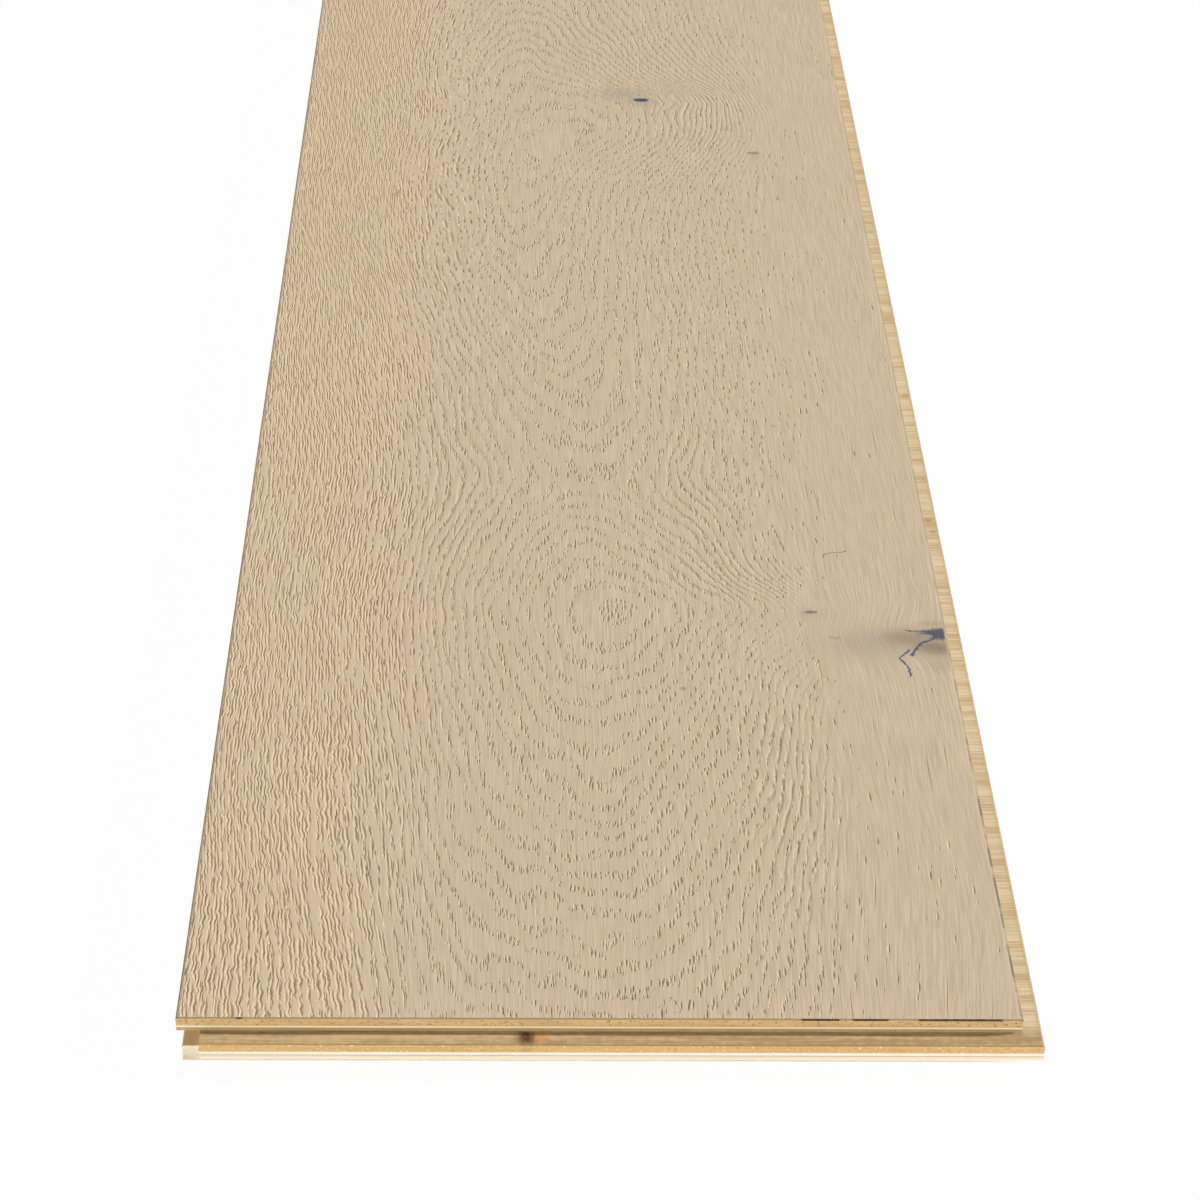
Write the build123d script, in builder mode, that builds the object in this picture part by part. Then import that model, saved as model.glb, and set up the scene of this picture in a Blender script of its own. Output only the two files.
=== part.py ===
# Engineered hardwood floorboard: an oak wear layer pressed onto a core of crossed plies,
# milled with a tongue on its right side and front end, and a groove on its left side and back end.
# It lies face up, with its length along Y. Sizes are in millimetres.
import os

from build123d import *

os.makedirs("parts", exist_ok=True)

# face of the laid board, between its top arrises
face_width = 220.0
face_length = 1900.0

# thickness of each layer, from the face down
oak_layer = 2.5
cross_ply_upper = 0.95
long_ply_upper = 1.1
cross_ply_tongue_top = 2.3
long_ply_tongue_middle = 1.25
cross_ply_tongue_bottom = 1.85
long_ply_lower = 2.3
cross_ply_lower = 0.8
backing_layer = 1.95

# tongue and groove
tongue_reach = 5.3
tongue_nose_chamfer = 0.5
fit_clearance = 0.1
groove_depth = 6.2
lower_lip_setback = 1.1
lower_lip_lead_in = 0.4
lower_shoulder_setback = 0.3
side_relief = 1.4
end_relief = 0.2

# eased top arrises
side_bevel = 0.8
side_bevel_drop = 0.5
end_bevel = 0.3

# how far a cutter runs past the blank
overrun = 10.0

# layers in the order that they are pressed, from the face down
layup = [
    ("oak_wear_layer", oak_layer),
    ("cross_ply_1", cross_ply_upper),
    ("long_ply_1", long_ply_upper),
    ("cross_ply_2", cross_ply_tongue_top),
    ("long_ply_2", long_ply_tongue_middle),
    ("cross_ply_3", cross_ply_tongue_bottom),
    ("long_ply_3", long_ply_lower),
    ("cross_ply_4", cross_ply_lower),
    ("backing_veneer", backing_layer),
]
tongue_layers = ("cross_ply_2", "long_ply_2", "cross_ply_3")

# heights above the underside
board_thickness = sum(thickness for name, thickness in layup)
top_of = {}
bottom_of = {}
height = board_thickness
for name, thickness in layup:
    top_of[name] = height
    height -= thickness
    bottom_of[name] = height
relief_top = bottom_of["cross_ply_1"]
tongue_top = top_of[tongue_layers[0]]
groove_floor = bottom_of[tongue_layers[-1]]
tongue_bottom = groove_floor + fit_clearance

# the box round the board is centred on the origin, so its tongues shift the face
blank_width = face_width + tongue_reach
blank_length = face_length + tongue_reach
face_left = -blank_width / 2
face_right = face_left + face_width
face_back = blank_length / 2
face_front = face_back - face_length


def tongue_waste_above(relief, bevel, bevel_drop):
    # what the cutter takes off over a tongue: the eased arris, the lip's edge, the relief and the nose
    nose = tongue_reach - tongue_nose_chamfer
    beyond = tongue_reach + overrun
    return [
        (-bevel, board_thickness + overrun),
        (-bevel, board_thickness),
        (0, board_thickness - bevel_drop),
        (0, relief_top),
        (-relief, relief_top),
        (-relief, tongue_top),
        (nose, tongue_top),
        (tongue_reach, tongue_top - tongue_nose_chamfer),
        (beyond, tongue_top - tongue_nose_chamfer),
        (beyond, board_thickness + overrun),
    ]


def tongue_waste_below():
    # what the cutter takes off under a tongue, back to the lower shoulder
    nose = tongue_reach - tongue_nose_chamfer
    beyond = tongue_reach + overrun
    return [
        (-lower_shoulder_setback, -overrun),
        (-lower_shoulder_setback, tongue_bottom),
        (nose, tongue_bottom),
        (tongue_reach, tongue_bottom + tongue_nose_chamfer),
        (beyond, tongue_bottom + tongue_nose_chamfer),
        (beyond, -overrun),
    ]


def groove_waste():
    # what the cutter takes out of a grooved edge: the slot, its lead-in and the front of the short lower lip
    return [
        (overrun, tongue_top),
        (-groove_depth, tongue_top),
        (-groove_depth, groove_floor),
        (-lower_lip_setback - lower_lip_lead_in, groove_floor),
        (-lower_lip_setback, groove_floor - lower_lip_lead_in),
        (-lower_lip_setback, -overrun),
        (overrun, -overrun),
    ]


def arris_waste(bevel, bevel_drop):
    # the eased arris over a groove
    return [
        (-bevel, board_thickness + overrun),
        (-bevel, board_thickness),
        (0, board_thickness - bevel_drop),
        (overrun, board_thickness - bevel_drop),
        (overrun, board_thickness + overrun),
    ]


# each edge as a plane whose x axis points out of the board and whose y axis points up
right_edge = Plane(origin=(face_right, 0, 0), x_dir=(1, 0, 0), z_dir=(0, -1, 0))
left_edge = Plane(origin=(face_left, 0, 0), x_dir=(-1, 0, 0), z_dir=(0, 1, 0))
front_edge = Plane(origin=(0, face_front, 0), x_dir=(0, -1, 0), z_dir=(-1, 0, 0))
back_edge = Plane(origin=(0, face_back, 0), x_dir=(0, 1, 0), z_dir=(1, 0, 0))

cuts = [
    (right_edge, tongue_waste_above(side_relief, side_bevel, side_bevel_drop), blank_length),
    (right_edge, tongue_waste_below(), blank_length),
    (front_edge, tongue_waste_above(end_relief, end_bevel, end_bevel), blank_width),
    (front_edge, tongue_waste_below(), blank_width),
    (left_edge, groove_waste(), blank_length),
    (left_edge, arris_waste(side_bevel, side_bevel_drop), blank_length),
    (back_edge, groove_waste(), blank_width),
    (back_edge, arris_waste(end_bevel, end_bevel), blank_width),
]

# the pressed blank, milled along its four edges
with BuildPart() as milled_board:
    with BuildSketch(Plane.XY):
        Rectangle(blank_width, blank_length)
    extrude(amount=board_thickness)
    for edge_plane, waste, run in cuts:
        with BuildSketch(edge_plane):
            with BuildLine():
                Polyline(waste, close=True)
            make_face()
        extrude(amount=run / 2 + overrun, both=True, mode=Mode.SUBTRACT)

# the layers, parted along their glue lines
for name, thickness in layup:
    with BuildPart() as layer:
        add(milled_board.part)
        split(bisect_by=Plane.XY.offset(top_of[name]), keep=Keep.BOTTOM)
        split(bisect_by=Plane.XY.offset(bottom_of[name]), keep=Keep.TOP)
    layer.part.label = name
    export_step(layer.part, f"parts/{name}.step")
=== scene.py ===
# Looks of an engineered oak floorboard: brushed and oiled wear layer, crossed plies, tongue and groove.
# Object coordinates are metres. The grain figure is worked out in millimetres,
# from the middle of the face across it and from its front along it.
import math

import bpy
import numpy as np
from mathutils import Matrix, Vector


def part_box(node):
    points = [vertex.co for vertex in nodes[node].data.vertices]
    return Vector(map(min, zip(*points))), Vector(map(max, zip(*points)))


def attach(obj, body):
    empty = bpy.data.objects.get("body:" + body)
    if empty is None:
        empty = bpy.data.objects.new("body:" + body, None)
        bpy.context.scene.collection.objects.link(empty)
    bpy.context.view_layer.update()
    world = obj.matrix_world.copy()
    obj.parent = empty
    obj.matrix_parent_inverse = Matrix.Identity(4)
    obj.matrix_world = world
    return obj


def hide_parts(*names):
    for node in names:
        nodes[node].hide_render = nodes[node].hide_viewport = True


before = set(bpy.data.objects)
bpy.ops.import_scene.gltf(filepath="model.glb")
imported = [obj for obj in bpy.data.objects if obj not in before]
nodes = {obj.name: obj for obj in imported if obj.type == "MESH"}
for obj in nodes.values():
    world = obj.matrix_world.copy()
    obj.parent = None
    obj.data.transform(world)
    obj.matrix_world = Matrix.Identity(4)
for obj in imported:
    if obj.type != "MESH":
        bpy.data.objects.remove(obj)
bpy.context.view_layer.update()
scene = bpy.context.scene
mm = 0.001

oakLow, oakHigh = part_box("oak_wear_layer")
faceMiddle = (oakLow.x + oakHigh.x) / 2
faceFront = oakLow.y
print("frame loaded:", len(nodes), "layers")


# small helpers for node trees

def addNode(tree, kind, inputs=None, **settings):
    made = tree.nodes.new(kind)
    for name, value in settings.items():
        setattr(made, name, value)
    for name, value in (inputs or {}).items():
        if isinstance(value, bpy.types.NodeSocket):
            tree.links.new(value, made.inputs[name])
        else:
            made.inputs[name].default_value = value
    return made


def calc(tree, operation, first, second=0.0, third=0.0):
    made = addNode(tree, "ShaderNodeMath", {0: first, 1: second, 2: third}, operation=operation)
    return made.outputs[0]


def fade(tree, value, low, high):
    # smooth step: 0 where the value is at low, 1 where it is at high
    made = addNode(tree, "ShaderNodeMapRange", {"Value": value, "From Min": low, "From Max": high},
                   interpolation_type="SMOOTHSTEP")
    return made.outputs["Result"]


def mixColor(tree, share, first, second):
    made = addNode(tree, "ShaderNodeMix", {"Factor": share, "A": first, "B": second}, data_type="RGBA")
    return made.outputs["Result"]


def addNoise(tree, place, cell, detail=1.0, shift=(0.0, 0.0, 0.0)):
    # noise whose cells have the given size in mm along x, y and z
    mapping = addNode(tree, "ShaderNodeMapping", {"Vector": place, "Location": shift})
    mapping.inputs["Scale"].default_value = [1000.0 / size for size in cell]
    made = addNode(tree, "ShaderNodeTexNoise",
                   {"Vector": mapping.outputs[0], "Scale": 1.0, "Detail": detail})
    return made.outputs["Fac"]


def vectorMath(tree, operation, first, second):
    made = addNode(tree, "ShaderNodeVectorMath", {0: first, 1: second}, operation=operation)
    return made.outputs["Value" if operation in ("DISTANCE", "DOT_PRODUCT") else "Vector"]


def srgb(red, green, blue):
    # a colour as read from the photo, 0 to 255, made linear
    values = np.array([red, green, blue]) / 255.0
    linear = np.where(values <= 0.04045, values / 12.92, ((values + 0.055) / 1.055) ** 2.4)
    return (*linear.tolist(), 1.0)


def newMaterial(name):
    material = bpy.data.materials.new(name)
    material.use_nodes = True
    tree = material.node_tree
    tree.nodes.clear()
    output = addNode(tree, "ShaderNodeOutputMaterial")
    shader = addNode(tree, "ShaderNodeBsdfPrincipled")
    tree.links.new(shader.outputs[0], output.inputs["Surface"])
    return material, tree, shader


# grain figure of the oak face

oakGrain = {
    "ringWidth": 1.9,          # of one year's growth, mm
    "pithDepth": 42.0,         # of the log's heart under the face, mm
    "eyes": [                  # middle, pith depth there, its climb before and after, roundness
        (189.0, 42.0, 0.197, 0.26, 12.0),
        (525.0, 31.0, 0.12, 0.18, 30.0),
        (905.0, 40.0, 0.17, 0.15, 25.0),
        (1310.0, 36.0, 0.14, 0.16, 30.0),
        (1720.0, 41.0, 0.16, 0.15, 20.0),
    ],
    "knotPulls": [             # middle, reach across and along, and how far the rings are drawn out, mm
        (100.0, 176.0, 40.0, 17.0, 17.0),
        (60.0, 191.0, 26.0, 13.0, 8.0),
        (40.0, 563.0, 18.0, 11.0, 8.0),
        (46.0, 545.0, 34.0, 42.0, 8.0),
    ],
    "knotPushes": [            # middle, reach across and along, and how far the fibres part round it, mm
        (113.0, 175.6, 26.0, 13.0, 12.0),
        (69.0, 187.0, 12.0, 7.0, 5.0),
        (27.3, 561.0, 16.0, 9.0, 7.0),
        (70.8, 512.2, 10.0, 5.0, 3.0),
    ],
    "seed": 7,
}


def bell(x, y, middleX, middleY, reachX, reachY):
    return np.exp(-((x - middleX) / reachX) ** 2 - ((y - middleY) / reachY) ** 2)


def softDistance(t, roundness):
    # distance from 0 with its tip rounded off
    return np.sqrt(t * t + roundness * roundness) - roundness


def riseFrom(y, middle, before, after, roundness):
    # climbs away from the middle, with one slope before it and another after
    t = y - middle
    return 0.5 * (before + after) * softDistance(t, roundness) + 0.5 * (after - before) * t


def pithDepthAt(y):
    # soft minimum of the cones over the eyes
    blendWidth = 2.0
    total = sum(np.exp(-(depth + riseFrom(y, middle, before, after, roundness)) / blendWidth)
                for middle, depth, before, after, roundness in oakGrain["eyes"])
    return -blendWidth * np.log(total)


def heartShift(y):
    # sideways wander of the heart along the board
    near = 7.0 * np.exp(-((y - 190.0) / 60.0) ** 2) + 15.0 * np.exp(-((y - 540.0) / 42.0) ** 2)
    middle = -21.0 * (0.5 + 0.5 * np.tanh((y - 385.0) / 50.0))
    far = (18.0 + 6.0 * np.sin(y / 170.0)) * (0.5 + 0.5 * np.tanh((y - 800.0) / 60.0))
    return -3.0 + near + middle + far


def waves(x, y, count, spanX, spanY, seed):
    # sum of sine waves with seeded directions and phases, about 1 high
    draw = np.random.default_rng(seed)
    across = draw.uniform(-1.0, 1.0, count) / spanX
    along = draw.uniform(-1.0, 1.0, count) / spanY
    phase = draw.uniform(0.0, 2.0 * np.pi, count)
    angle = 2.0 * np.pi * (x[..., None] * across + y[..., None] * along) + phase
    return np.sin(angle).sum(-1) / math.sqrt(count / 2.0)


def heartDistance(x, y):
    # distance to the pith, stretched where the pith dips, less the pull of each knot
    base = oakGrain["pithDepth"]
    offset = x - heartShift(y) * np.exp(-(x / 70.0) ** 2)
    hold = np.exp(-(softDistance(offset, 8.0) / 65.0) ** 1.4)
    distance = np.sqrt(offset * offset + base * base) + (pithDepthAt(y) - base) * hold
    for middleX, middleY, reachX, reachY, pull in oakGrain["knotPulls"]:
        distance = distance - pull * bell(x, y, middleX, middleY, reachX, reachY)
    return distance


def ringCount(x, y):
    # years from the heart, uneven by slow and quick waves
    slow = waves(x, y, 10, 34.0, 70.0, oakGrain["seed"])
    quick = waves(x, y, 16, 9.0, 20.0, oakGrain["seed"] + 1)
    return heartDistance(x, y) / oakGrain["ringWidth"] + 0.35 * slow + 0.14 * quick


def furrowAmount(x, y):
    # share of long brushed furrows: full on the left, fading out towards the middle
    left = 0.5 - 0.5 * np.tanh((x + 60.0) / 15.0)
    return np.clip(1.15 * left + 0.1 * waves(x, y, 8, 30.0, 90.0, oakGrain["seed"] + 2) * left, 0.0, 1.1)


def calmAmount(x, y):
    # close wood round the knots, where no pores show
    calm = 0.95 * bell(x, y, 88.0, 176.0, 36.0, 20.0) + 0.7 * bell(x, y, 24.0, 562.0, 26.0, 12.0)
    return np.clip(calm + 0.35 * bell(x, y, -12.0, 520.0, 28.0, 32.0), 0.0, 1.0)


def tickAmount(x, y):
    # share of short pores: most in the middle, few on the right
    right = 0.5 + 0.5 * np.tanh((x - 62.0) / 14.0)
    left = 0.5 - 0.5 * np.tanh((x + 60.0) / 14.0)
    amount = 1.0 - 0.95 * right - 0.35 * left + 0.06 * waves(x, y, 8, 26.0, 70.0, oakGrain["seed"] + 3)
    return np.clip(amount * (1.0 - calmAmount(x, y)), 0.0, 1.0)


def streakAmount(x, y):
    # share of long thin pores: on the right, most of all at its front
    right = 0.5 + 0.5 * np.tanh((x - 45.0) / 18.0)
    front = np.exp(-(y / 90.0) ** 2)
    amount = 0.03 + right * (0.09 + 0.12 * front + 0.04 * waves(x, y, 8, 22.0, 80.0, oakGrain["seed"] + 4))
    return np.clip(amount * (1.0 - calmAmount(x, y)), 0.0, 1.0)


def rippleAmount(x, y):
    # where the growth rings themselves show as faint ripples beside a knot
    near = 0.8 * bell(x, y, 43.0, 205.0, 17.0, 13.0) + 0.6 * bell(x, y, 34.0, 250.0, 12.0, 45.0)
    beside = 0.45 * bell(x, y, -44.0, 250.0, 14.0, 130.0) + 0.5 * bell(x, y, 56.0, 90.0, 12.0, 60.0)
    far = 0.55 * bell(x, y, 50.0, 560.0, 22.0, 60.0) + 0.5 * bell(x, y, 0.0, 620.0, 40.0, 40.0)
    return np.clip(near + beside + far, 0.0, 1.0)


def fibreFlow(x, y):
    # which fibre lies here, told by its place across the board: along the growth rings on the left,
    # elsewhere straight with a slow wander, leaning at the front right, parting round each knot
    left = 0.5 - 0.5 * np.tanh((x + 48.0) / 16.0)
    alongRing = 22.2 - 1.1 * heartDistance(x, y)
    flow = x + left * (alongRing - x) + 0.5 * waves(x, y, 8, 60.0, 90.0, oakGrain["seed"] + 5)
    lean = 0.5 + 0.5 * np.tanh((x - 50.0) / 25.0)
    flow = flow - 0.085 * lean * y * np.exp(-(y / 150.0) ** 2)
    for middleX, middleY, reachX, reachY, push in oakGrain["knotPushes"]:
        flow = flow - push * (x - middleX) / reachX * bell(x, y, middleX, middleY, reachX, reachY)
    return flow


# the oak wear layer: one closed relief, cut from the CAD node's own box

oakLayer = {
    "columns": 432,
    "rows": 222,
    "rowGrowth": 2.3,          # natural log of how much further apart the rows are at the far end
    "sideBevel": (0.8, 0.5),   # across and down, mm
    "endBevel": 0.3,           # mm
    "furrowDepth": 0.04,       # of the brushed growth rings, mm
}


def oakRelief():
    # height over a grid: level face, less a furrow at each growth ring, with eased arrises and closed sides
    left, right = oakLow.x / mm, oakHigh.x / mm
    front, back = oakLow.y / mm, oakHigh.y / mm
    under, top = oakLow.z / mm, oakHigh.z / mm
    bevel, drop = oakLayer["sideBevel"]
    endBevel = oakLayer["endBevel"]
    steps = np.linspace(0.0, 1.0, oakLayer["rows"])
    growth = oakLayer["rowGrowth"]
    inner = (np.exp(growth * steps) - 1.0) / (math.exp(growth) - 1.0)
    rows = np.concatenate([[front], front + endBevel + inner * (back - front - 2.0 * endBevel), [back]])
    face = np.linspace(left + bevel, right - bevel, oakLayer["columns"])
    columns = np.concatenate([[left, left], face, [right, right]])
    x, y = np.meshgrid(columns, rows)
    faceX, faceY = x - faceMiddle / mm, y - front
    rings = ringCount(faceX, faceY)
    furrow = furrowAmount(faceX, faceY)
    shares = {"rings": rings, "furrow": furrow, "tick": tickAmount(faceX, faceY),
              "streak": streakAmount(faceX, faceY), "ripple": rippleAmount(faceX, faceY),
              "flow": fibreFlow(faceX, faceY) * mm}
    trough = (0.5 + 0.5 * np.cos(2.0 * np.pi * (rings - 0.25))) ** 2
    # where the rows are too far apart only the material draws the furrows
    fineness = np.clip(1.4 - faceY / 700.0, 0.0, 1.0)
    z = top - oakLayer["furrowDepth"] * trough * (0.25 + 0.75 * furrow) * fineness
    z[:, [1, -2]] = top - drop
    z[[0, -1]] = np.minimum(z[[0, -1]], top - endBevel)
    z[:, [0, -1]] = under
    rowCount, columnCount = x.shape
    index = np.arange(rowCount * columnCount).reshape(rowCount, columnCount)
    quads = np.stack([index[:-1, :-1], index[:-1, 1:], index[1:, 1:], index[1:, :-1]], -1)
    bottom = np.stack([index[:-1, 0], index[1:, 0], index[1:, -1], index[:-1, -1]], -1)
    finish = np.zeros(quads.shape[:2], np.int32)   # 0 brushed face, 1 sawn, 2 stained arris
    finish[:, [1, -2]] = 2
    finish[[0, -1]] = 2
    finish[:, [0, -1]] = 1
    faces = quads.reshape(-1, 4).tolist() + bottom.tolist() + [index[0, ::-1].tolist(), index[-1].tolist()]
    extra = len(bottom) + 2
    finish = np.concatenate([finish.ravel(), np.ones(extra, np.int32)])
    mesh = bpy.data.meshes.new("oak_face")
    mesh.from_pydata(np.stack([x, y, z], -1).reshape(-1, 3) * mm, [], faces)
    mesh.polygons.foreach_set("material_index", finish)
    mesh.polygons.foreach_set("use_smooth", finish == 0)
    for name, values in shares.items():
        layer = mesh.attributes.new(name, "FLOAT", "POINT")
        layer.data.foreach_set("value", values.ravel().astype(np.float32))
    mesh.update()
    piece = bpy.data.objects.new("oak_face", mesh)
    scene.collection.objects.link(piece)
    return piece


# the brushed and oiled oak

oakFinish = {
    "pale": srgb(215, 194, 165),
    "dark": srgb(188, 170, 145),
    "furrow": srgb(216, 193, 161),
    "pink": srgb(207, 180, 152),
    # pore colours: partly the oil held in the pores, partly painted shade in the grooves
    "pore": srgb(190, 152, 108),
    "coldPore": srgb(132, 137, 148),
    "furrowCell": (0.9, 10.0),        # mm
    "tickCell": (1.05, 5.4),          # mm
    "streakCell": (1.4, 46.0),        # mm
    "colorCell": (0.8, 45.0, 5.0),    # mm
    "fibreCell": (0.5, 14.0, 5.0),    # mm
    "grooveDepth": 0.68,              # mm
    "poreDarkness": 0.5,
    "coldDarkness": 0.35,
    "streakDarkness": 0.62,
    "pinkShare": 0.32,
    "wanderCell": (5.0, 3.2, 5.0),    # mm
    "sway": 0.5,                      # of the fibres from straight, mm
    "furrowSway": 0.9,                # added to that in the furrows, mm
    "furrowStagger": 0.382,           # shift of each row of furrows, so that their ends don't line up
    "furrowReach": 0.5,               # half size as a share of the cell, here and below
    "tickReach": (0.34, 0.3),
    "streakReach": 0.19,
    "poreSpread": 0.4,                # how unlike in size the pores are
    "ringLineDepth": 0.8,             # shares of the groove depth, here and below
    "streakDepth": 0.2,
    "fibreRelief": 0.1,
}

# knots, their stained halos and filled cracks, in mm from the middle of the face and from its front
oakMarks = {
    "knotColor": srgb(58, 70, 90),
    "crackColor": srgb(84, 95, 112),
    "greyHalo": srgb(166, 152, 136),
    "brownHalo": srgb(150, 130, 110),
    "darkHalo": srgb(118, 106, 96),
    "island": (103.6, 174.4, 2.6, 1.3, 0.85),
    "knots": [                 # middle, reach across and along, strength
        (27.3, 561.0, 4.2, 2.1, 0.95),
        (70.8, 512.2, 3.2, 1.3, 0.45),
        (68.9, 187.1, 2.8, 1.0, 0.6),
        (111.5, 175.6, 12.5, 4.3, 0.88),
        (75.0, 173.2, 2.2, 0.9, 0.25),
    ],
    "greyHalos": [
        (20.0, 566.0, 22.0, 11.0, 0.55),
        (28.0, 558.0, 14.0, 7.0, 0.5),
        (71.0, 510.0, 6.0, 5.0, 0.3),
        (69.0, 186.0, 10.0, 6.0, 0.3),
        (86.0, 170.0, 26.0, 15.0, 0.5),
        (-33.0, 521.0, 4.0, 5.0, 0.35),
    ],
    "brownHalos": [
        (98.0, 173.5, 14.0, 8.0, 0.7),
        (106.5, 168.0, 14.0, 8.5, 0.75),
        (108.0, 181.0, 12.0, 3.0, 0.4),
        (108.0, 159.0, 9.0, 6.0, 0.3),
    ],
    "darkHalos": [
        (105.5, 168.4, 9.5, 4.6, 0.4),
    ],
    "cracks": [                # half width, then the points that it runs through
        (0.45, (97.6, 177.2), (105.5, 176.8)),
        (0.55, (106.4, 173.5), (101.7, 170.7), (99.3, 166.8), (98.2, 164.2)),
        (0.45, (97.6, 166.9), (95.8, 164.9), (94.2, 162.4), (95.7, 159.3), (96.4, 156.6), (96.7, 152.9)),
    ],
    "scratch": (0.26, (75.2, 217.8), (75.6, 219.6), (77.9, 220.9), (82.9, 221.6)),
    "scratchStrength": 0.85,
    "coldStain": (15.5, 8.0, 13.0, 10.0),
    "ragged": 1.0,             # how far the marks' edges wander, mm
}


def onFace(point):
    # from millimetres on the face to the object's own metres
    return faceMiddle + point[0] * mm, faceFront + point[1] * mm


def spot(tree, place, middleX, middleY, reachX, reachY, core=0.55):
    # 1 inside an ellipse, falling to 0 at its edge
    x, y = onFace((middleX, middleY))
    scaleX, scaleY = 1.0 / (reachX * mm), 1.0 / (reachY * mm)
    mapping = addNode(tree, "ShaderNodeMapping",
                      {"Vector": place, "Location": (-x * scaleX, -y * scaleY, 0.0),
                       "Scale": (scaleX, scaleY, 0.0)})
    distance = addNode(tree, "ShaderNodeVectorMath", {0: mapping.outputs[0]}, operation="LENGTH")
    return fade(tree, distance.outputs["Value"], 1.0, core)


def crackLine(tree, place, halfWidth, *points):
    # 1 along a broken line, from the distance to the nearest of its runs
    nearest = None
    for first, second in zip(points[:-1], points[1:]):
        start = Vector((*onFace(first), 0.0))
        run = Vector((*onFace(second), 0.0)) - start
        away = vectorMath(tree, "SUBTRACT", place, start)
        along = vectorMath(tree, "DOT_PRODUCT", away, run / run.length_squared)
        share = addNode(tree, "ShaderNodeClamp", {"Value": along}).outputs[0]
        bounceGlowFoot = addNode(tree, "ShaderNodeVectorMath", {0: run, "Scale": share}, operation="SCALE").outputs[0]
        gap = vectorMath(tree, "DISTANCE", away, bounceGlowFoot)
        nearest = gap if nearest is None else calc(tree, "MINIMUM", nearest, gap)
    return fade(tree, nearest, halfWidth * mm, halfWidth * mm * 0.45)


def addMarks(tree, place, color):
    # lays halos, knots and cracks over the wood's colour
    rough = addNode(tree, "ShaderNodeTexNoise", {"Vector": place, "Scale": 700.0, "Detail": 2.0})
    ragged = oakMarks["ragged"] * mm
    push = addNode(tree, "ShaderNodeVectorMath",
                   {0: rough.outputs["Color"], 1: (2.0 * ragged,) * 3, 2: (-ragged,) * 3},
                   operation="MULTIPLY_ADD").outputs[0]
    near = vectorMath(tree, "ADD", place, push)
    ground = vectorMath(tree, "MULTIPLY", near, (1.0, 1.0, 0.0))
    for key, tint in (("greyHalos", "greyHalo"), ("brownHalos", "brownHalo"), ("darkHalos", "darkHalo")):
        for middleX, middleY, reachX, reachY, share in oakMarks[key]:
            mask = spot(tree, ground, middleX, middleY, reachX, reachY, core=0.0)
            color = mixColor(tree, calc(tree, "MULTIPLY", mask, share), color, oakMarks[tint])
    for middleX, middleY, reachX, reachY, share in oakMarks["knots"]:
        mask = spot(tree, ground, middleX, middleY, reachX, reachY)
        color = mixColor(tree, calc(tree, "MULTIPLY", mask, share), color, oakMarks["knotColor"])
    *middle, share = oakMarks["island"]
    mask = calc(tree, "MULTIPLY", spot(tree, ground, *middle), share)
    color = mixColor(tree, mask, color, oakMarks["greyHalo"])
    for crack in oakMarks["cracks"]:
        color = mixColor(tree, crackLine(tree, ground, *crack), color, oakMarks["crackColor"])
    scratch = calc(tree, "MULTIPLY", crackLine(tree, ground, *oakMarks["scratch"]), oakMarks["scratchStrength"])
    return mixColor(tree, scratch, color, oakMarks["knotColor"])


def addDashes(tree, across, along, reach, share, randomness=1.0, spread=0.0):
    # lens shaped grooves: cones round scattered points, of which only the given share is cut,
    # and whose sizes differ by the spread
    where = addNode(tree, "ShaderNodeCombineXYZ", {"X": across, "Y": along}).outputs[0]
    cells = addNode(tree, "ShaderNodeTexVoronoi", {"Vector": where, "Scale": 1.0, "Randomness": randomness},
                    voronoi_dimensions="2D")
    draw = addNode(tree, "ShaderNodeSeparateColor", {0: cells.outputs["Color"]})
    size = calc(tree, "MULTIPLY_ADD", draw.outputs["Green"], 2.0 * spread, 1.0 - spread)
    depth = calc(tree, "SUBTRACT", size, calc(tree, "DIVIDE", cells.outputs["Distance"], reach))
    cone = calc(tree, "MAXIMUM", depth, 0.0)
    spare = calc(tree, "SUBTRACT", share, draw.outputs["Red"])
    return calc(tree, "MULTIPLY", cone, fade(tree, spare, 0.0, 0.12))


def inCells(tree, axes, cell):
    # place along x and y counted in cells of the given size in mm
    return [calc(tree, "MULTIPLY", axes.outputs[axis], 1.0 / (size * mm)) for axis, size in zip("XY", cell)]


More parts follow.
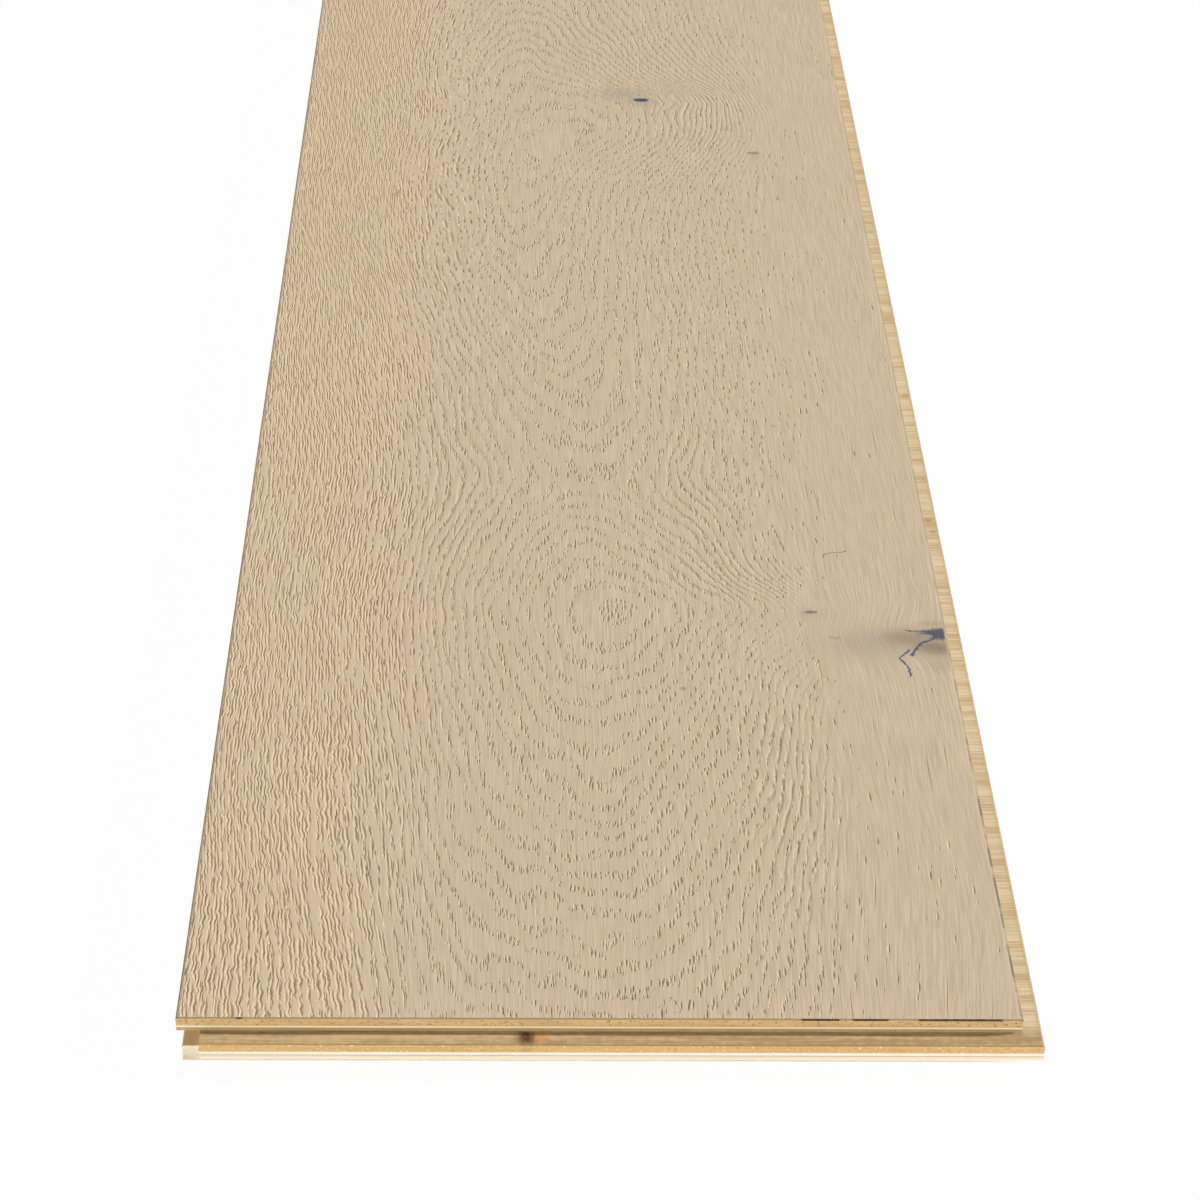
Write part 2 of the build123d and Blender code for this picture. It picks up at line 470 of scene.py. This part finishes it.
def oakFaceMaterial():
    material, tree, shader = newMaterial("brushed_oak_face")
    material.cycles.use_bump_map_correction = False   # it dims the lit wall of each groove
    place = addNode(tree, "ShaderNodeTexCoord").outputs["Object"]
    rings, furrowShare, tickShare, streakShare, ripple, flow = (
        addNode(tree, "ShaderNodeAttribute", attribute_name=name).outputs["Fac"]
        for name in ("rings", "furrow", "tick", "streak", "ripple", "flow"))
    # fibres wander a little from straight
    wander = addNoise(tree, place, oakFinish["wanderCell"], detail=2.0)
    ground = addNode(tree, "ShaderNodeSeparateXYZ", {0: place})
    sway = calc(tree, "MULTIPLY_ADD", furrowShare, oakFinish["furrowSway"] * mm, oakFinish["sway"] * mm)
    across = calc(tree, "MULTIPLY_ADD", wander, sway, flow)
    fibrePlace = addNode(tree, "ShaderNodeCombineXYZ", {"X": across, "Y": ground.outputs["Y"]}).outputs[0]
    axes = addNode(tree, "ShaderNodeSeparateXYZ", {0: fibrePlace})
    # each year opens with a band of large pores
    jitter = addNoise(tree, place, (3.0, 7.0, 5.0), detail=3.0)
    year = calc(tree, "FRACT", calc(tree, "MULTIPLY_ADD", jitter, 0.5, rings))
    fromBand = calc(tree, "ABSOLUTE", calc(tree, "SUBTRACT", year, 0.5))
    early = fade(tree, fromBand, 0.27, 0.12)
    # furrows are long dashes, deepest where the brush tore that band out
    furrowX, furrowY = inCells(tree, axes, oakFinish["furrowCell"])
    staggered = calc(tree, "MULTIPLY_ADD", furrowX, oakFinish["furrowStagger"], furrowY)
    tornShare = calc(tree, "MULTIPLY", furrowShare, calc(tree, "MULTIPLY_ADD", early, 0.2, 0.8))
    furrow = addDashes(tree, furrowX, staggered, oakFinish["furrowReach"], tornShare,
                       randomness=0.5, spread=0.12)
    # ticks are short dashes in that band
    bandShare = calc(tree, "MULTIPLY", tickShare, calc(tree, "MULTIPLY_ADD", early, 0.95, 0.05))
    tickX, tickY = inCells(tree, axes, oakFinish["tickCell"])
    reach, reachBetween = oakFinish["tickReach"]
    spread = oakFinish["poreSpread"]
    tick = addDashes(tree, tickX, tickY, reach, bandShare, spread=spread)
    between = addDashes(tree, calc(tree, "ADD", tickX, 40.5), calc(tree, "ADD", tickY, 9.5), reachBetween,
                        calc(tree, "MULTIPLY", bandShare, 0.8), spread=spread)
    tick = calc(tree, "MAXIMUM", tick, between)
    # streaks are long thin pores, met anywhere
    streakX, streakY = inCells(tree, axes, oakFinish["streakCell"])
    streak = addDashes(tree, streakX, streakY, oakFinish["streakReach"], streakShare, spread=spread)
    # beside the knots and the heart the ring's own edge is torn out as a line
    lineDepth = addNode(tree, "ShaderNodeMapRange",
                        {"Value": fromBand, "From Min": 0.28, "From Max": 0.0}).outputs["Result"]
    breaks = addNoise(tree, fibrePlace, (1.6, 9.0, 5.0), detail=2.0, shift=(4.0, 9.0, 0.0))
    broken = calc(tree, "MULTIPLY", fade(tree, breaks, 0.36, 0.6), oakFinish["ringLineDepth"])
    ringLine = calc(tree, "MULTIPLY", calc(tree, "MULTIPLY", lineDepth, ripple), broken)
    groove = calc(tree, "MAXIMUM", calc(tree, "MAXIMUM", furrow, ringLine), tick)
    groove = calc(tree, "MAXIMUM", groove, calc(tree, "MULTIPLY", streak, oakFinish["streakDepth"]))
    # colour: warm and greyish fibres, a little darker in the grooves, partly the oil held in the pores and
    # partly painted shade with the warm cast of light bounced inside them
    bands = addNoise(tree, fibrePlace, oakFinish["colorCell"], detail=3.0)
    fibre = addNoise(tree, fibrePlace, oakFinish["fibreCell"])
    patch = addNoise(tree, place, (30.0, 90.0, 10.0), detail=2.0)
    tone = calc(tree, "ADD", calc(tree, "MULTIPLY", bands, 0.4), calc(tree, "MULTIPLY", fibre, 0.6))
    wood = mixColor(tree, fade(tree, tone, 0.27, 0.73), oakFinish["dark"], oakFinish["pale"])
    pinkShare = calc(tree, "MULTIPLY", fade(tree, patch, 0.4, 0.65), oakFinish["pinkShare"])
    wood = mixColor(tree, pinkShare, wood, oakFinish["pink"])
    wood = mixColor(tree, calc(tree, "MULTIPLY", furrowShare, 0.5), wood, oakFinish["furrow"])
    ringTone = calc(tree, "MULTIPLY", early, calc(tree, "MULTIPLY_ADD", ripple, 0.35, 0.1))
    wood = mixColor(tree, ringTone, wood, oakFinish["dark"])
    cold = spot(tree, place, *oakMarks["coldStain"], core=0.2)
    poreAndShadeColor = mixColor(tree, cold, oakFinish["pore"], oakFinish["coldPore"])
    darkness = calc(tree, "MULTIPLY_ADD", cold, oakFinish["coldDarkness"], oakFinish["poreDarkness"])
    # partly painted shade: the pore colour darkens and warms the grooves and streaks
    wood = mixColor(tree, calc(tree, "MULTIPLY", groove, darkness), wood, poreAndShadeColor)
    wood = mixColor(tree, calc(tree, "MULTIPLY", streak, oakFinish["streakDarkness"]), wood, poreAndShadeColor)
    tree.links.new(addMarks(tree, place, wood), shader.inputs["Base Color"])
    # relief: grooves cut in, fibres barely raised
    height = calc(tree, "SUBTRACT", calc(tree, "MULTIPLY", fibre, oakFinish["fibreRelief"]), groove)
    bump = addNode(tree, "ShaderNodeBump", {"Height": height, "Distance": oakFinish["grooveDepth"] * mm})
    tree.links.new(bump.outputs[0], shader.inputs["Normal"])
    shader.inputs["Roughness"].default_value = 0.8
    shader.inputs["Specular IOR Level"].default_value = 0.12
    return material


arrisFinish = {
    # paler than the face: painted light, lifting the arrises that face away from the rake
    "wood": srgb(222, 202, 176),
    "stain": srgb(204, 182, 152),
    "frontWood": srgb(158, 136, 104),
    "frontStain": srgb(58, 42, 34),
    "rightWood": srgb(168, 150, 126),
    # painted shade along the outer edge of the left arris
    "leftEdgeShade": srgb(128, 112, 90),
    "rightStain": srgb(116, 106, 96),
    "frontDashes": [(57.0, 5.5), (70.0, 5.2), (93.5, 11.5), (-93.6, 1.2)],   # middle and half length, mm
    "frontDrip": 0.55,         # how far the front stain comes down from the face, mm
}


def frontDashMask(tree, axes):
    # 1 in the stained dashes along the front arris, from the distance to the middle of each
    mask = fade(tree, axes.outputs["Y"], faceFront + 0.6 * mm, faceFront + 0.4 * mm)
    inDash = None
    for middle, half in arrisFinish["frontDashes"]:
        gap = calc(tree, "ABSOLUTE", calc(tree, "SUBTRACT", axes.outputs["X"], faceMiddle + middle * mm))
        dash = fade(tree, gap, half * mm, (half - 1.0) * mm)
        inDash = dash if inDash is None else calc(tree, "MAXIMUM", inDash, dash)
    return calc(tree, "MULTIPLY", mask, inDash)


def arrisMaterial():
    # eased arrises hold more stain than the face: dashes along the front, a broken cold line on the right; the
    # thin dark line on the left is painted shade, and the base colour, paler than the face, is painted light
    # for the arrises that face away from the rake
    material, tree, shader = newMaterial("stained_arris")
    place = addNode(tree, "ShaderNodeTexCoord").outputs["Object"]
    axes = addNode(tree, "ShaderNodeSeparateXYZ", {0: place})
    x, y = axes.outputs["X"], axes.outputs["Y"]
    fine = addNoise(tree, place, (1.2, 3.0, 3.0), detail=2.0)
    rough = calc(tree, "MULTIPLY_ADD", fine, 0.8, 0.45)
    color = mixColor(tree, fade(tree, fine, 0.4, 0.65), arrisFinish["wood"], arrisFinish["stain"])
    onFront = fade(tree, y, faceFront + 0.5 * mm, faceFront + 0.3 * mm)
    color = mixColor(tree, onFront, color, arrisFinish["frontWood"])
    dashes = calc(tree, "MULTIPLY", frontDashMask(tree, axes), rough)
    color = mixColor(tree, dashes, color, arrisFinish["frontStain"])
    # painted shade: a thin dark line along the outer edge of the left arris, which faces away from the rake
    onLeft = fade(tree, x, oakLow.x + 0.4 * mm, oakLow.x + 0.2 * mm)
    color = mixColor(tree, calc(tree, "MULTIPLY", onLeft, rough), color, arrisFinish["leftEdgeShade"])
    onRight = fade(tree, x, oakHigh.x - 0.9 * mm, oakHigh.x - 0.75 * mm)
    color = mixColor(tree, onRight, color, arrisFinish["rightWood"])
    near = calc(tree, "MULTIPLY_ADD", fade(tree, y, faceFront + 190.0 * mm, faceFront + 90.0 * mm), 0.7, 0.3)
    broken = fade(tree, addNoise(tree, place, (30.0, 8.0, 30.0), detail=3.0), 0.36, 0.56)
    onRight = calc(tree, "MULTIPLY", onRight, calc(tree, "MULTIPLY", near, broken))
    color = mixColor(tree, onRight, color, arrisFinish["rightStain"])
    tree.links.new(color, shader.inputs["Base Color"])
    shader.inputs["Roughness"].default_value = 0.75
    shader.inputs["Specular IOR Level"].default_value = 0.2
    return material


sawnFinish = {
    "pale": srgb(226, 192, 136),
    "dark": srgb(214, 180, 128),
    "fleck": srgb(176, 140, 92),
    "pore": srgb(134, 100, 62),
}


def sawnOakMaterial():
    # raw oak on the sawn ends and sides: short flecks, pores end on, and the front stain run down a little
    material, tree, shader = newMaterial("sawn_oak")
    place = addNode(tree, "ShaderNodeTexCoord").outputs["Object"]
    axes = addNode(tree, "ShaderNodeSeparateXYZ", {0: place})
    fleck = addNoise(tree, place, (1.4, 12.0, 0.6), detail=2.0)
    pore = addNoise(tree, place, (0.8, 12.0, 0.5), shift=(3.0, 0.0, 5.0))
    broad = addNoise(tree, place, (14.0, 40.0, 2.0), detail=2.0)
    wood = mixColor(tree, fade(tree, broad, 0.35, 0.65), sawnFinish["pale"], sawnFinish["dark"])
    color = mixColor(tree, fade(tree, fleck, 0.54, 0.7), wood, sawnFinish["fleck"])
    color = mixColor(tree, fade(tree, pore, 0.66, 0.72), color, sawnFinish["pore"])
    stained = oakHigh.z - arrisFinish["frontDrip"] * mm
    drip = calc(tree, "MULTIPLY", frontDashMask(tree, axes),
                fade(tree, axes.outputs["Z"], stained - 0.05 * mm, stained + 0.1 * mm))
    color = mixColor(tree, drip, color, arrisFinish["frontStain"])
    tree.links.new(color, shader.inputs["Base Color"])
    bump = addNode(tree, "ShaderNodeBump", {"Height": fleck, "Distance": 0.0001})
    tree.links.new(bump.outputs[0], shader.inputs["Normal"])
    shader.inputs["Roughness"].default_value = 0.8
    shader.inputs["Specular IOR Level"].default_value = 0.2
    return material


# the plies of the core

plyFinish = {
    "cross_ply_1": ("across", srgb(255, 246, 218), srgb(252, 236, 200)),
    "long_ply_1": ("along", srgb(206, 178, 124), srgb(186, 156, 104)),
    "cross_ply_2": ("across", srgb(228, 188, 126), srgb(214, 172, 110)),
    "long_ply_2": ("along", srgb(253, 248, 235), srgb(248, 238, 214)),
    "cross_ply_3": ("across", srgb(250, 234, 204), srgb(244, 224, 188)),
    "long_ply_3": ("along", srgb(252, 242, 218), srgb(244, 226, 192)),
    "cross_ply_4": ("across", srgb(252, 244, 222), srgb(246, 232, 202)),
    # pale wood, made paler still as painted light, lifting its shaded front face at the board's foot
    "backing_veneer": ("along", srgb(248, 234, 206), srgb(238, 218, 182)),
}

tongueFinish = {
    "sideLedge": (srgb(212, 197, 166), srgb(184, 162, 125)),
    "rim": srgb(176, 146, 104),
    # end ledge colours, darker than the side ledge: painted shade of the lip above it
    "shadedEndLedge": (srgb(194, 168, 127), srgb(164, 137, 97)),
    "outerEdge": srgb(198, 158, 100),
    "arris": srgb(150, 116, 74),
    "noseFleck": srgb(168, 122, 66),
    "noseSpeck": srgb(252, 228, 178),
    "groove": (srgb(255, 226, 176), srgb(246, 208, 152)),
    # painted light: the near-white colour at the ply's bottom, for the glow bounced up from the floor
    "bounceGlowFoot": srgb(253, 248, 236),
    "glue": srgb(204, 174, 124),
    "glueHeight": 0.4,               # mm
    "stains": [                      # middle, reach across and along, strength, colour
        (-19.4, -2.0, 3.8, 4.4, 1.0, srgb(92, 58, 34)),
        (-15.4, -2.4, 2.4, 3.4, 0.7, srgb(204, 138, 70)),
        (112.4, 247.8, 1.9, 1.9, 0.8, srgb(176, 118, 70)),
        (113.0, 240.5, 1.5, 1.6, 0.4, srgb(176, 118, 70)),
        (113.2, 329.1, 1.7, 2.2, 0.5, srgb(176, 118, 70)),
    ],
}


def tongueTopColor(tree, place, axes, facing, base, tone):
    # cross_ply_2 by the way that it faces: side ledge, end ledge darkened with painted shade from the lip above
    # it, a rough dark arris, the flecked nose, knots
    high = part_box("cross_ply_2")[1]
    upward, sideways = facing.outputs["Z"], facing.outputs["X"]
    mottle = addNoise(tree, place, (2.2, 1.6, 2.0), detail=4.0)
    sideTone = calc(tree, "MULTIPLY_ADD", addNoise(tree, place, (7.0, 0.4, 1.0), detail=4.0), 0.7,
                    calc(tree, "MULTIPLY_ADD", tone, 0.5, -0.1))
    sideLedge = mixColor(tree, fade(tree, sideTone, 0.25, 0.75), *tongueFinish["sideLedge"])
    rim = fade(tree, axes.outputs["X"], high.x - 1.5 * mm, high.x - 0.5 * mm)
    sideLedge = mixColor(tree, calc(tree, "MULTIPLY", rim, mottle), sideLedge, tongueFinish["outerEdge"])
    # painted shade: the end ledge is coloured darker than the side ledge, for the shade that the lip above
    # casts on it
    endTone = calc(tree, "MULTIPLY_ADD", mottle, 0.8, calc(tree, "MULTIPLY_ADD", tone, 0.4, -0.1))
    shadedEndLedge = mixColor(tree, fade(tree, endTone, 0.25, 0.75), *tongueFinish["shadedEndLedge"])
    onEnd = fade(tree, axes.outputs["Y"], faceFront + 2.5 * mm, faceFront - 1.5 * mm)
    ledge = mixColor(tree, onEnd, sideLedge, shadedEndLedge)
    speck = addNoise(tree, place, (0.9, 0.7, 0.5), detail=2.0)
    nose = mixColor(tree, fade(tree, speck, 0.6, 0.72), base, tongueFinish["noseSpeck"])
    fleck = calc(tree, "MULTIPLY", fade(tree, speck, 0.4, 0.3), 0.7)
    nose = mixColor(tree, fleck, nose, tongueFinish["noseFleck"])
    color = mixColor(tree, fade(tree, upward, 0.8, 0.95), nose, ledge)
    chamfer = calc(tree, "MULTIPLY", fade(tree, upward, 0.4, 0.6), fade(tree, upward, 0.9, 0.8))
    worn = calc(tree, "MULTIPLY", fade(tree, axes.outputs["Z"], high.z - 0.3 * mm, high.z - 0.15 * mm),
                calc(tree, "MULTIPLY_ADD", speck, 1.2, 0.2))
    color = mixColor(tree, calc(tree, "MULTIPLY", chamfer, worn), color, tongueFinish["arris"])
    sideChamfer = calc(tree, "MULTIPLY", chamfer, fade(tree, sideways, 0.4, 0.6))
    color = mixColor(tree, sideChamfer, color, tongueFinish["rim"])
    streaks = calc(tree, "MULTIPLY_ADD", addNoise(tree, place, (1.1, 5.0, 5.0), detail=3.0), 2.4, -0.2)
    for middleX, middleY, reachX, reachY, share, tint in tongueFinish["stains"]:
        mask = spot(tree, place, middleX, middleY, reachX, reachY, core=0.1)
        mask = calc(tree, "MULTIPLY", calc(tree, "MULTIPLY", mask, share), streaks)
        color = mixColor(tree, addNode(tree, "ShaderNodeClamp", {"Value": mask}).outputs[0], color, tint)
    return color


def plyMaterial(name, grain, pale, dark):
    # fine fibres along the ply's grain over broad paler and darker bands
    material, tree, shader = newMaterial(name + "_wood")
    place = addNode(tree, "ShaderNodeTexCoord").outputs["Object"]
    fibreCell = (26.0, 0.5, 0.3) if grain == "across" else (0.5, 26.0, 0.3)
    bandCell = (90.0, 4.0, 2.0) if grain == "across" else (8.0, 120.0, 2.0)
    fibre = addNoise(tree, place, fibreCell, detail=2.0)
    band = addNoise(tree, place, bandCell, detail=2.0)
    tone = calc(tree, "ADD", calc(tree, "MULTIPLY", fibre, 0.55), calc(tree, "MULTIPLY", band, 0.45))
    tone = fade(tree, tone, 0.36, 0.64)
    color = mixColor(tree, tone, pale, dark)
    axes = addNode(tree, "ShaderNodeSeparateXYZ", {0: place})
    normal = addNode(tree, "ShaderNodeNewGeometry").outputs["Normal"]
    facing = addNode(tree, "ShaderNodeSeparateXYZ", {0: normal})
    low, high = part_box(name)
    if name == "cross_ply_2":
        color = tongueTopColor(tree, place, axes, facing, color, tone)
    if name == "cross_ply_1":
        middle, half = (low.z + high.z) / 2, (high.z - low.z) / 2
        gap = calc(tree, "ABSOLUTE", calc(tree, "SUBTRACT", axes.outputs["Z"], middle))
        glued = fade(tree, gap, half - 0.3 * mm, half - 0.1 * mm)
        color = mixColor(tree, glued, color, tongueFinish["glue"])
    if name == "long_ply_2":
        glued = fade(tree, axes.outputs["Z"], low.z + tongueFinish["glueHeight"] * mm, low.z + 0.1 * mm)
        color = mixColor(tree, glued, color, tongueFinish["glue"])
    if name == "cross_ply_3":
        # painted light: cross_ply_3 grows paler towards its bottom, for the glow bounced up from the white
        # floor
        color = mixColor(tree, fade(tree, axes.outputs["Z"], high.z - 0.4 * mm, low.z + 0.6 * mm), color,
                         tongueFinish["bounceGlowFoot"])
    if name == "long_ply_3":
        # the slot floor's own orange, set near full brightness as painted light for the light that reaches into
        # the groove from its open left side
        slot = mixColor(tree, tone, *tongueFinish["groove"])
        color = mixColor(tree, fade(tree, facing.outputs["Z"], 0.8, 0.95), color, slot)
    tree.links.new(color, shader.inputs["Base Color"])
    bump = addNode(tree, "ShaderNodeBump", {"Height": fibre, "Distance": 0.00008})
    tree.links.new(bump.outputs[0], shader.inputs["Normal"])
    shader.inputs["Roughness"].default_value = 0.75
    shader.inputs["Specular IOR Level"].default_value = 0.2
    return material


oakFace = oakRelief()
oakFace.data.materials.append(oakFaceMaterial())
oakFace.data.materials.append(sawnOakMaterial())
oakFace.data.materials.append(arrisMaterial())
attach(oakFace, "root")
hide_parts("oak_wear_layer")
print("oak face:", len(oakFace.data.polygons), "faces")

for layerName, (grain, pale, dark) in plyFinish.items():
    ply = nodes[layerName]
    ply.data.materials.clear()
    ply.data.materials.append(plyMaterial(layerName, grain, pale, dark))
print("plies finished:", len(plyFinish))


# floor, light and camera

studio = {
    "floorSize": 8.0,          # m
    "floorGap": 0.0004,        # under the board, m
    "lampDistance": 3.0,       # m
    "floorGlow": 0.97,         # share of plain white that the camera sees in the floor
    "ambient": 0.11,           # share of a level face's brightness
    "backKey": {"elevation": 72.0, "azimuth": 88.0, "share": 0.28, "softness": 4.0},
    "sideRake": {"elevation": 24.0, "azimuth": 8.0, "share": 0.46, "softness": 4.0},
    "frontFill": {"elevation": 14.0, "azimuth": -105.0, "share": 0.145, "softness": 50.0},
}


def seenDirectly(tree):
    # 1 for rays from the camera, straight or by way of a shiny or clear surface
    ray = addNode(tree, "ShaderNodeLightPath")
    seen = calc(tree, "MAXIMUM", ray.outputs["Is Camera Ray"], ray.outputs["Is Glossy Ray"])
    return calc(tree, "MAXIMUM", seen, ray.outputs["Is Transmission Ray"])


def floorMaterial():
    # white to the camera, with a part of the object's shadow left in it
    material, tree, shader = newMaterial("studio_floor")
    shader.inputs["Base Color"].default_value = (0.9, 0.9, 0.9, 1.0)
    shader.inputs["Roughness"].default_value = 0.9
    seen = seenDirectly(tree)
    glow = addNode(tree, "ShaderNodeEmission", {"Color": (1.0, 1.0, 1.0, 1.0), "Strength": 1.0})
    mixed = addNode(tree, "ShaderNodeMixShader", {0: calc(tree, "MULTIPLY", seen, studio["floorGlow"])})
    tree.links.new(shader.outputs[0], mixed.inputs[1])
    tree.links.new(glow.outputs[0], mixed.inputs[2])
    output = next(n for n in tree.nodes if n.type == "OUTPUT_MATERIAL")
    tree.links.new(mixed.outputs[0], output.inputs["Surface"])
    return material


def addFloor():
    half = studio["floorSize"] / 2
    corners = np.array([(-half, -half), (half, -half), (half, half), (-half, half)])
    level = np.full((4, 1), -studio["floorGap"])
    mesh = bpy.data.meshes.new("floor")
    mesh.from_pydata(np.hstack([corners, level]), [], [(0, 1, 2, 3)])
    mesh.materials.append(floorMaterial())
    floor = bpy.data.objects.new("floor", mesh)
    scene.collection.objects.link(floor)


def addLamp(name, settings):
    # a distant soft lamp; its share is what it adds to the brightness of a level face
    lamp = bpy.data.lights.new(name, "SUN")
    elevation, azimuth = math.radians(settings["elevation"]), math.radians(settings["azimuth"])
    lamp.energy = math.pi * settings["share"] / math.sin(elevation)
    lamp.angle = math.radians(settings["softness"])
    toLamp = Vector((math.cos(elevation) * math.cos(azimuth), math.cos(elevation) * math.sin(azimuth),
                     math.sin(elevation)))
    holder = bpy.data.objects.new(name, lamp)
    holder.rotation_mode = "QUATERNION"
    holder.rotation_quaternion = toLamp.to_track_quat("Z", "Y")
    holder.location = toLamp * studio["lampDistance"]
    scene.collection.objects.link(holder)


def addWorld():
    world = bpy.data.worlds.new("studio")
    world.use_nodes = True
    tree = world.node_tree
    tree.nodes.clear()
    seen = seenDirectly(tree)
    strength = calc(tree, "MULTIPLY_ADD", seen, 1.0 - studio["ambient"], studio["ambient"])
    back = addNode(tree, "ShaderNodeBackground", {"Color": (1.0, 1.0, 1.0, 1.0), "Strength": strength})
    output = addNode(tree, "ShaderNodeOutputWorld")
    tree.links.new(back.outputs[0], output.inputs["Surface"])
    scene.world = world


photoCamera = {
    "fromFrontLeft": (87.6, -582.5, 527.3),   # from the face's front left corner, mm
    "pitch": 34.20,
    "yaw": 1.90,
    "roll": 1.45,
    "focalPixels": 3005.0,
    "imagePixels": 1200.0,
    "sensorWidth": 36.0,                      # mm
}


def addCamera():
    # turned to the pitch, yaw and roll that the board's edges give in the photo
    pitch, yaw, roll = (math.radians(photoCamera[k]) for k in ("pitch", "yaw", "roll"))
    forward = Vector((math.sin(yaw) * math.cos(pitch), math.cos(yaw) * math.cos(pitch), -math.sin(pitch)))
    levelRight = Vector((math.cos(yaw), -math.sin(yaw), 0.0))
    levelUp = levelRight.cross(forward)
    right = math.cos(roll) * levelRight + math.sin(roll) * levelUp
    up = -math.sin(roll) * levelRight + math.cos(roll) * levelUp
    corner = Vector((oakLow.x, oakLow.y, oakHigh.z))
    data = bpy.data.cameras.new("photo_camera")
    data.sensor_width = photoCamera["sensorWidth"]
    data.lens = photoCamera["sensorWidth"] * photoCamera["focalPixels"] / photoCamera["imagePixels"]
    data.clip_start, data.clip_end = 0.01, 50.0
    camera = bpy.data.objects.new("photo_camera", data)
    turn = Matrix((right, up, -forward)).transposed().to_4x4()
    camera.matrix_world = Matrix.Translation(corner + Vector(photoCamera["fromFrontLeft"]) * mm) @ turn
    scene.collection.objects.link(camera)
    scene.camera = camera


addFloor()
addWorld()
addLamp("back_key", studio["backKey"])
addLamp("side_rake", studio["sideRake"])
addLamp("front_fill", studio["frontFill"])
addCamera()
scene.view_settings.view_transform = "Standard"
print("studio ready")
